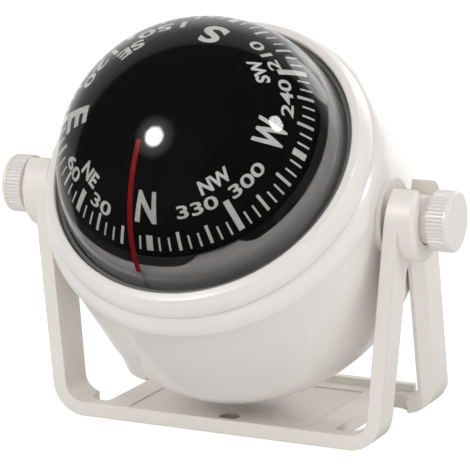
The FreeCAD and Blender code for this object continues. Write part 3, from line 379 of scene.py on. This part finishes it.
def card_rise(away, lift=0.0):
    """The height of the card's face at a distance from the axis.

    The face is a cap of a ball: its height is the card's top less the ball's radius, plus the
    root of that radius, with any lift added, squared less the distance squared.
    """
    return card_top - card_ball + np.sqrt((card_ball + lift) ** 2 - away ** 2)


card_black = moulded(
    "card_black", (0.0016, 0.0016, 0.0016), (0.0024, 0.0023, 0.0022), 0.55, 0.1 * MM, gloss=0.02
)
outward = np.linspace(0, card_edge, 60)
inward = outward[::-1]
card = turned_piece(
    "card_dome",
    np.concatenate((outward, inward)),
    np.concatenate((card_rise(outward), card_rise(inward) - CARD_WALL)),
    card_black,
)
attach(card, "card")
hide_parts("compass_card")


def tick(heading, inner, outer, width):
    """Corners and faces of one tick: a strip along a radius of the card, of even width.

    Its two sides are turned from the heading by half the width over the distance, each way.
    """
    away = np.linspace(inner, outer, 4)[:, None]
    turn = math.radians(heading + CARD_TURN) + np.array([-0.5, 0.5]) * width / away
    face = placed(away * np.sin(turn), -away * np.cos(turn), card_rise(away, INK_LIFT))
    return face, grid_faces(4, 2, False)


def word(text, heading, foot, tall, wide, bold):
    """Corners and faces of a word printed round the card.

    A point u across and v up from the middle of the word's foot lies at the distance foot - v
    from the axis and turned by u / (foot - tall / 2) from the heading, so its top is inwards.
    Long edges are cut first, at the font's own size, so that the word follows the card's curve.
    """
    letters = bpy.data.curves.new("letters", "FONT")
    letters.body = text
    letters.offset = bold
    letters.resolution_u = 5
    holder = bpy.data.objects.new("letters", letters)
    flat = bpy.data.meshes.new_from_object(holder)
    work = bmesh.new()
    work.from_mesh(flat)
    bmesh.ops.triangulate(work, faces=work.faces)
    for _ in range(4):
        long_edges = [edge for edge in work.edges if edge.calc_length() > LONGEST_EDGE]
        if not long_edges:
            break
        bmesh.ops.subdivide_edges(work, edges=long_edges, cuts=1)
        bmesh.ops.triangulate(work, faces=work.faces)
    work.to_mesh(flat)
    work.free()
    flat_places = np.empty(len(flat.vertices) * 3)
    flat.vertices.foreach_get("co", flat_places)
    corners = np.empty(len(flat.loops), int)
    flat.loops.foreach_get("vertex_index", corners)
    across, up, _ = flat_places.reshape(-1, 3).T
    across = (across - (across.min() + across.max()) / 2) * wide / np.ptp(across)
    up = (up - up.min()) * tall / np.ptp(up)
    turn = math.radians(heading + CARD_TURN) + across / (foot - tall / 2)
    away = foot - up
    face = placed(away * np.sin(turn), -away * np.cos(turn), card_rise(away, INK_LIFT))
    bpy.data.objects.remove(holder)
    bpy.data.curves.remove(letters)
    bpy.data.meshes.remove(flat)
    return face, corners.reshape(-1, 3)


LETTER_TALL, POINT_TALL, NUMBER_TALL = 3.75 * MM, 1.8 * MM, 1.5 * MM
LETTER_BOLD, NUMBER_BOLD = 0.035, 0.02
DIGIT_STEP, DIGIT_GAP = 2.4 * MM, 0.7 * MM
prints = []
for heading in range(0, 360, 5):
    if heading % 90 == 0:
        prints.append(tick(heading, 17.45 * MM, TICK_END, 1.05 * MM))
    elif heading % 45 == 0:
        inner = 16.5 if heading in (225, 315) else 15.6
        prints.append(tick(heading, inner * MM, TICK_END, 0.98 * MM))
    elif heading % 15 == 0:
        prints.append(tick(heading, 17.1 * MM, TICK_END, 0.50 * MM))
    else:
        prints.append(tick(heading, 17.6 * MM, TICK_END, 0.31 * MM))
for text, heading, foot, wide in (
    ("N", -2, 16.2, 3.2),
    ("W", 92.5, 16.3, 4.9),
    ("S", 180, 15.7, 3.2),
    ("E", -86, 17.3, 3.0),
):
    prints.append(word(text, heading, foot * MM, LETTER_TALL, wide * MM, LETTER_BOLD))
for text, heading, foot, wide in (
    ("NE", -47.5, 15.6, 3.7),
    ("NW", 45.5, 13.9, 5.2),
    ("SW", 137, 14.3, 4.5),
    ("SE", -132, 14.9, 4.0),
):
    prints.append(word(text, heading, foot * MM, POINT_TALL, wide * MM, LETTER_BOLD))
for text, heading, foot in (
    ("30", -31.5, 17.0),
    ("60", -60, 17.3),
    ("120", -115, 16.8),
    ("150", -150, 16.4),
    ("330", 29, 15.8),
    ("300", 61.5, 16.0),
    ("240", 118, 16.6),
    ("210", 148, 16.3),
):
    wide = DIGIT_STEP * len(text) - DIGIT_GAP
    prints.append(word(text, heading, foot * MM, NUMBER_TALL, wide, NUMBER_BOLD))

print_places = np.concatenate([places for places, _ in prints])
print_faces = []
first = 0
for places, faces in prints:
    print_faces.extend((faces + first).tolist())
    first += len(places)

ink = Paint(bpy.data.materials.new("ink_white"))
wear = ink.noise(900, 3, 0.6)
ink_white = ink.done(ink.node("ShaderNodeBsdfPrincipled", {}, {
    "Base Color": ink.mix(wear, (0.54, 0.54, 0.53, 1), (0.44, 0.44, 0.43, 1)),
    "Roughness": wear * 0.1 + 0.45,
    "Specular IOR Level": MATT_UNDER_OIL,
}))
rose = piece_from("dial_markings", print_places, print_faces, ink_white)
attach(rose, "card")


# What hangs from the card. A hollow plastic float under the card carries the two magnets and the
# brass cup whose jewel turns on the steel pivot pin.

float_grey = moulded(
    "float_grey", (0.060, 0.058, 0.056), (0.045, 0.043, 0.042), 0.45, 0.2 * MM
)
painted(float_grey, "card_float")
painted(metal("magnet_metal", (0.36, 0.35, 0.35), (0.22, 0.21, 0.21), 0.35), "card_magnets")


# The dome and its filling. A clear acrylic dome is filled with clear mineral oil, which bends
# light nearly as acrylic does, so both are seen as one clear body from the dome's outside inwards.

DOME_FOOT = -3.4 * MM
FILL_RADIUS = 21.9 * MM
FILL_FOOT = -19.1 * MM
dome_radius = about_axis("lens_dome")[1].max()
lean = np.linspace(0, math.acos(DOME_FOOT / dome_radius), 96)
clear = Paint(bpy.data.materials.new("dome_clear"))
smear = clear.noise(160, 4, 0.6)
polish = clear.node("ShaderNodeBump", {}, {
    "Strength": 0.02, "Distance": 0.1 * MM, "Height": smear,
})
lens = clear.node("ShaderNodeBsdfPrincipled", {}, {
    "Base Color": (0.985, 0.985, 0.98, 1),
    "Roughness": 0.0,
    "IOR": 1.43,
    "Transmission Weight": 1.0,
    "Normal": polish,
})
open_way = clear.node("ShaderNodeBsdfTransparent", {}, {"Color": (0.94, 0.94, 0.94, 1)})
shadow_ray = clear.node("ShaderNodeLightPath", output="Is Shadow Ray")
dome_clear = clear.done(
    clear.node("ShaderNodeMixShader", {}, {0: shadow_ray, 1: lens, 2: open_way})
)
dome = turned_piece(
    "dome_and_filling",
    np.concatenate((dome_radius * np.sin(lean), [FILL_RADIUS, FILL_RADIUS, 0.0])),
    np.concatenate((dome_radius * np.cos(lean), [DOME_FOOT, FILL_FOOT, FILL_FOOT])),
    dome_clear,
)
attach(dome, "housing")
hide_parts("lens_dome")


# The studio. The compass stands on a plain white floor, seen from its front right and a little
# above. Soft lamps at the front left and at the right light it, with fill light from three sides.
# Some lamps only show as reflections in the dome: a bright core at the front, two at the back.

camera = bpy.data.cameras.new("camera")
camera.lens = 203.35
camera.sensor_width = 36
camera.shift_x = 0.0021
camera.clip_start = 0.01
view = bpy.data.objects.new("camera", camera)
view.location = (0.19081, -0.40570, 0.12821)
aim = Vector((0.00111, 0, 0.03383))
view.rotation_euler = (aim - view.location).to_track_quat("-Z", "Y").to_euler()
bpy.context.scene.collection.objects.link(view)
bpy.context.scene.camera = view
bpy.context.scene.view_settings.view_transform = "Standard"

floor_paint = Paint(bpy.data.materials.new("floor_white"))
seen = floor_paint.node("ShaderNodeLightPath", output="Is Camera Ray")
seen = seen + floor_paint.node("ShaderNodeLightPath", output="Is Glossy Ray")
seen = seen + floor_paint.node("ShaderNodeLightPath", output="Is Transmission Ray")
grain = floor_paint.noise(40, 2)
lit = floor_paint.node("ShaderNodeBsdfDiffuse", {}, {
    "Color": floor_paint.mix(grain, (0.78, 0.78, 0.78, 1), (0.74, 0.74, 0.74, 1)),
})
bounce = floor_paint.node("ShaderNodeEmission", {}, {"Strength": 0.14})
lit = floor_paint.node("ShaderNodeAddShader", {}, {0: lit, 1: bounce})
dim = floor_paint.node("ShaderNodeBsdfDiffuse", {}, {"Color": (0.28, 0.28, 0.28, 1)})
glow = floor_paint.node("ShaderNodeEmission", {}, {"Strength": 0.86})
white = floor_paint.node("ShaderNodeAddShader", {}, {0: dim, 1: glow})
TOWARD_BACK = (-0.39, 0.92, 0)
BACKDROP_STOPS = ((0.42, 0.0), (0.47, 0.33), (0.75, 0.5), (0.90, 1.0))
bearing = floor_paint.node("ShaderNodeVectorMath", {"operation": "NORMALIZE"}, {
    0: floor_paint.node("ShaderNodeTexCoord", output="Object"),
})
to_back = floor_paint.node("ShaderNodeVectorMath", {"operation": "DOT_PRODUCT"}, {
    0: bearing, 1: TOWARD_BACK,
}, output="Value")
in_gloss = floor_paint.node("ShaderNodeLightPath", output="Is Glossy Ray")
dark = floor_paint.node("ShaderNodeBsdfDiffuse", {}, {"Color": (0.06, 0.06, 0.06, 1)})
shown = floor_paint.node("ShaderNodeMixShader", {}, {
    0: in_gloss * (1 - floor_paint.ramp(to_back, *BACKDROP_STOPS)), 1: white, 2: dark,
})
floor_white = floor_paint.done(
    floor_paint.node("ShaderNodeMixShader", {}, {0: seen, 1: lit, 2: shown})
)
FLOOR_RADIUS = 4.0
FLOOR_CORNERS = 64
FLOOR_LEVEL = -0.2 * MM
angle = -np.arange(FLOOR_CORNERS) * (2 * math.pi / FLOOR_CORNERS)
floor_rim = np.stack((
    FLOOR_RADIUS * np.sin(angle),
    FLOOR_RADIUS * np.cos(angle),
    np.full(FLOOR_CORNERS, FLOOR_LEVEL),
), -1)
floor = piece_from("floor", floor_rim, [list(range(FLOOR_CORNERS))], floor_white, False)

world = bpy.data.worlds.new("studio")
bpy.context.scene.world = world
room = Paint(world)
direction = room.node("ShaderNodeTexCoord", output="Generated")
toward_back = room.node("ShaderNodeVectorMath", {"operation": "DOT_PRODUCT"}, {
    0: direction, 1: TOWARD_BACK,
}, output="Value")
backdrop = room.ramp(toward_back, *BACKDROP_STOPS)
looked_at = room.node("ShaderNodeLightPath", output="Is Camera Ray")
looked_at = looked_at + room.node("ShaderNodeLightPath", output="Is Transmission Ray")
scattered = room.node("ShaderNodeLightPath", output="Is Diffuse Ray")
dark_side = room.mix(scattered, (0.03, 0.03, 0.03, 1), (0.78, 0.78, 0.78, 1))
bright_side = room.mix(scattered, (0.9, 0.9, 0.9, 1), (1.6, 1.6, 1.6, 1))
level = room.mix(looked_at, room.mix(backdrop, dark_side, bright_side), (1, 1, 1, 1))
air = room.node("ShaderNodeBackground", {}, {"Color": level, "Strength": 1.0})
room.node("ShaderNodeOutputWorld", {}, {"Surface": air})


LAMPS_LOOK_AT = Vector((0, 0, 45 * MM))
LAMP_MIDDLE = (0.5, 0.5, 0)


def lamp(name, direction, distance, across, watts, reflected, fading=(), lights=True):
    """A round lamp that looks at the compass from a direction.

    Its fading is a list of stops, each a distance from its middle in diameters and a strength. It
    shows in glossy surfaces if it is reflected, and it reaches the others if it lights.
    """
    light = bpy.data.lights.new(name, "AREA")
    light.shape = "DISK"
    light.size = across
    light.energy = watts
    if fading:
        glass = Paint(light)
        away = glass.node("ShaderNodeVectorMath", {"operation": "DISTANCE"}, {
            0: glass.node("ShaderNodeNewGeometry", output="Parametric"), 1: LAMP_MIDDLE,
        }, output="Value")
        shine = glass.node("ShaderNodeEmission", {}, {"Strength": glass.ramp(away, *fading)})
        glass.node("ShaderNodeOutputLight", {}, {"Surface": shine})
    holder = bpy.data.objects.new(name, light)
    holder.location = LAMPS_LOOK_AT + Vector(direction).normalized() * distance
    holder.rotation_euler = (-Vector(direction)).to_track_quat("-Z", "Y").to_euler()
    holder.visible_glossy = reflected
    holder.visible_diffuse = lights
    bpy.context.scene.collection.objects.link(holder)


FRONT_LEFT = (-0.279, -0.839, 0.468)
SOFT_GLOW = ((0.12, 1.0), (0.3, 0.28), (0.5, 0.0))
SOFT_CORE = ((0.30, 1.0), (0.5, 0.0))
SOFT_EDGE = ((0.42, 1.0), (0.5, 0.0))
lamp("front_lamp", FRONT_LEFT, 0.60, 0.34, 1.25, True, SOFT_GLOW)
lamp("front_glare", FRONT_LEFT, 0.59, 0.16, 2.5, True, SOFT_CORE, False)
lamp("right_lamp", (0.84, -0.02, 0.54), 0.60, 0.12, 0.72, True, SOFT_EDGE)
lamp("back_softbox", (0.20, 0.96, 0.13), 0.70, 0.56, 0.50, True, SOFT_EDGE, False)
lamp("back_lamp", (0.31, 0.84, 0.45), 0.70, 0.30, 0.50, True, SOFT_EDGE, False)
lamp("front_fill", (0.35, -0.93, 0.25), 1.2, 1.2, 1.0, False)
lamp("right_fill", (1.0, 0.0, 0.1), 1.2, 1.2, 0.4, False)
lamp("left_fill", (-0.9, -0.4, 0.1), 1.2, 1.2, 2.6, False)
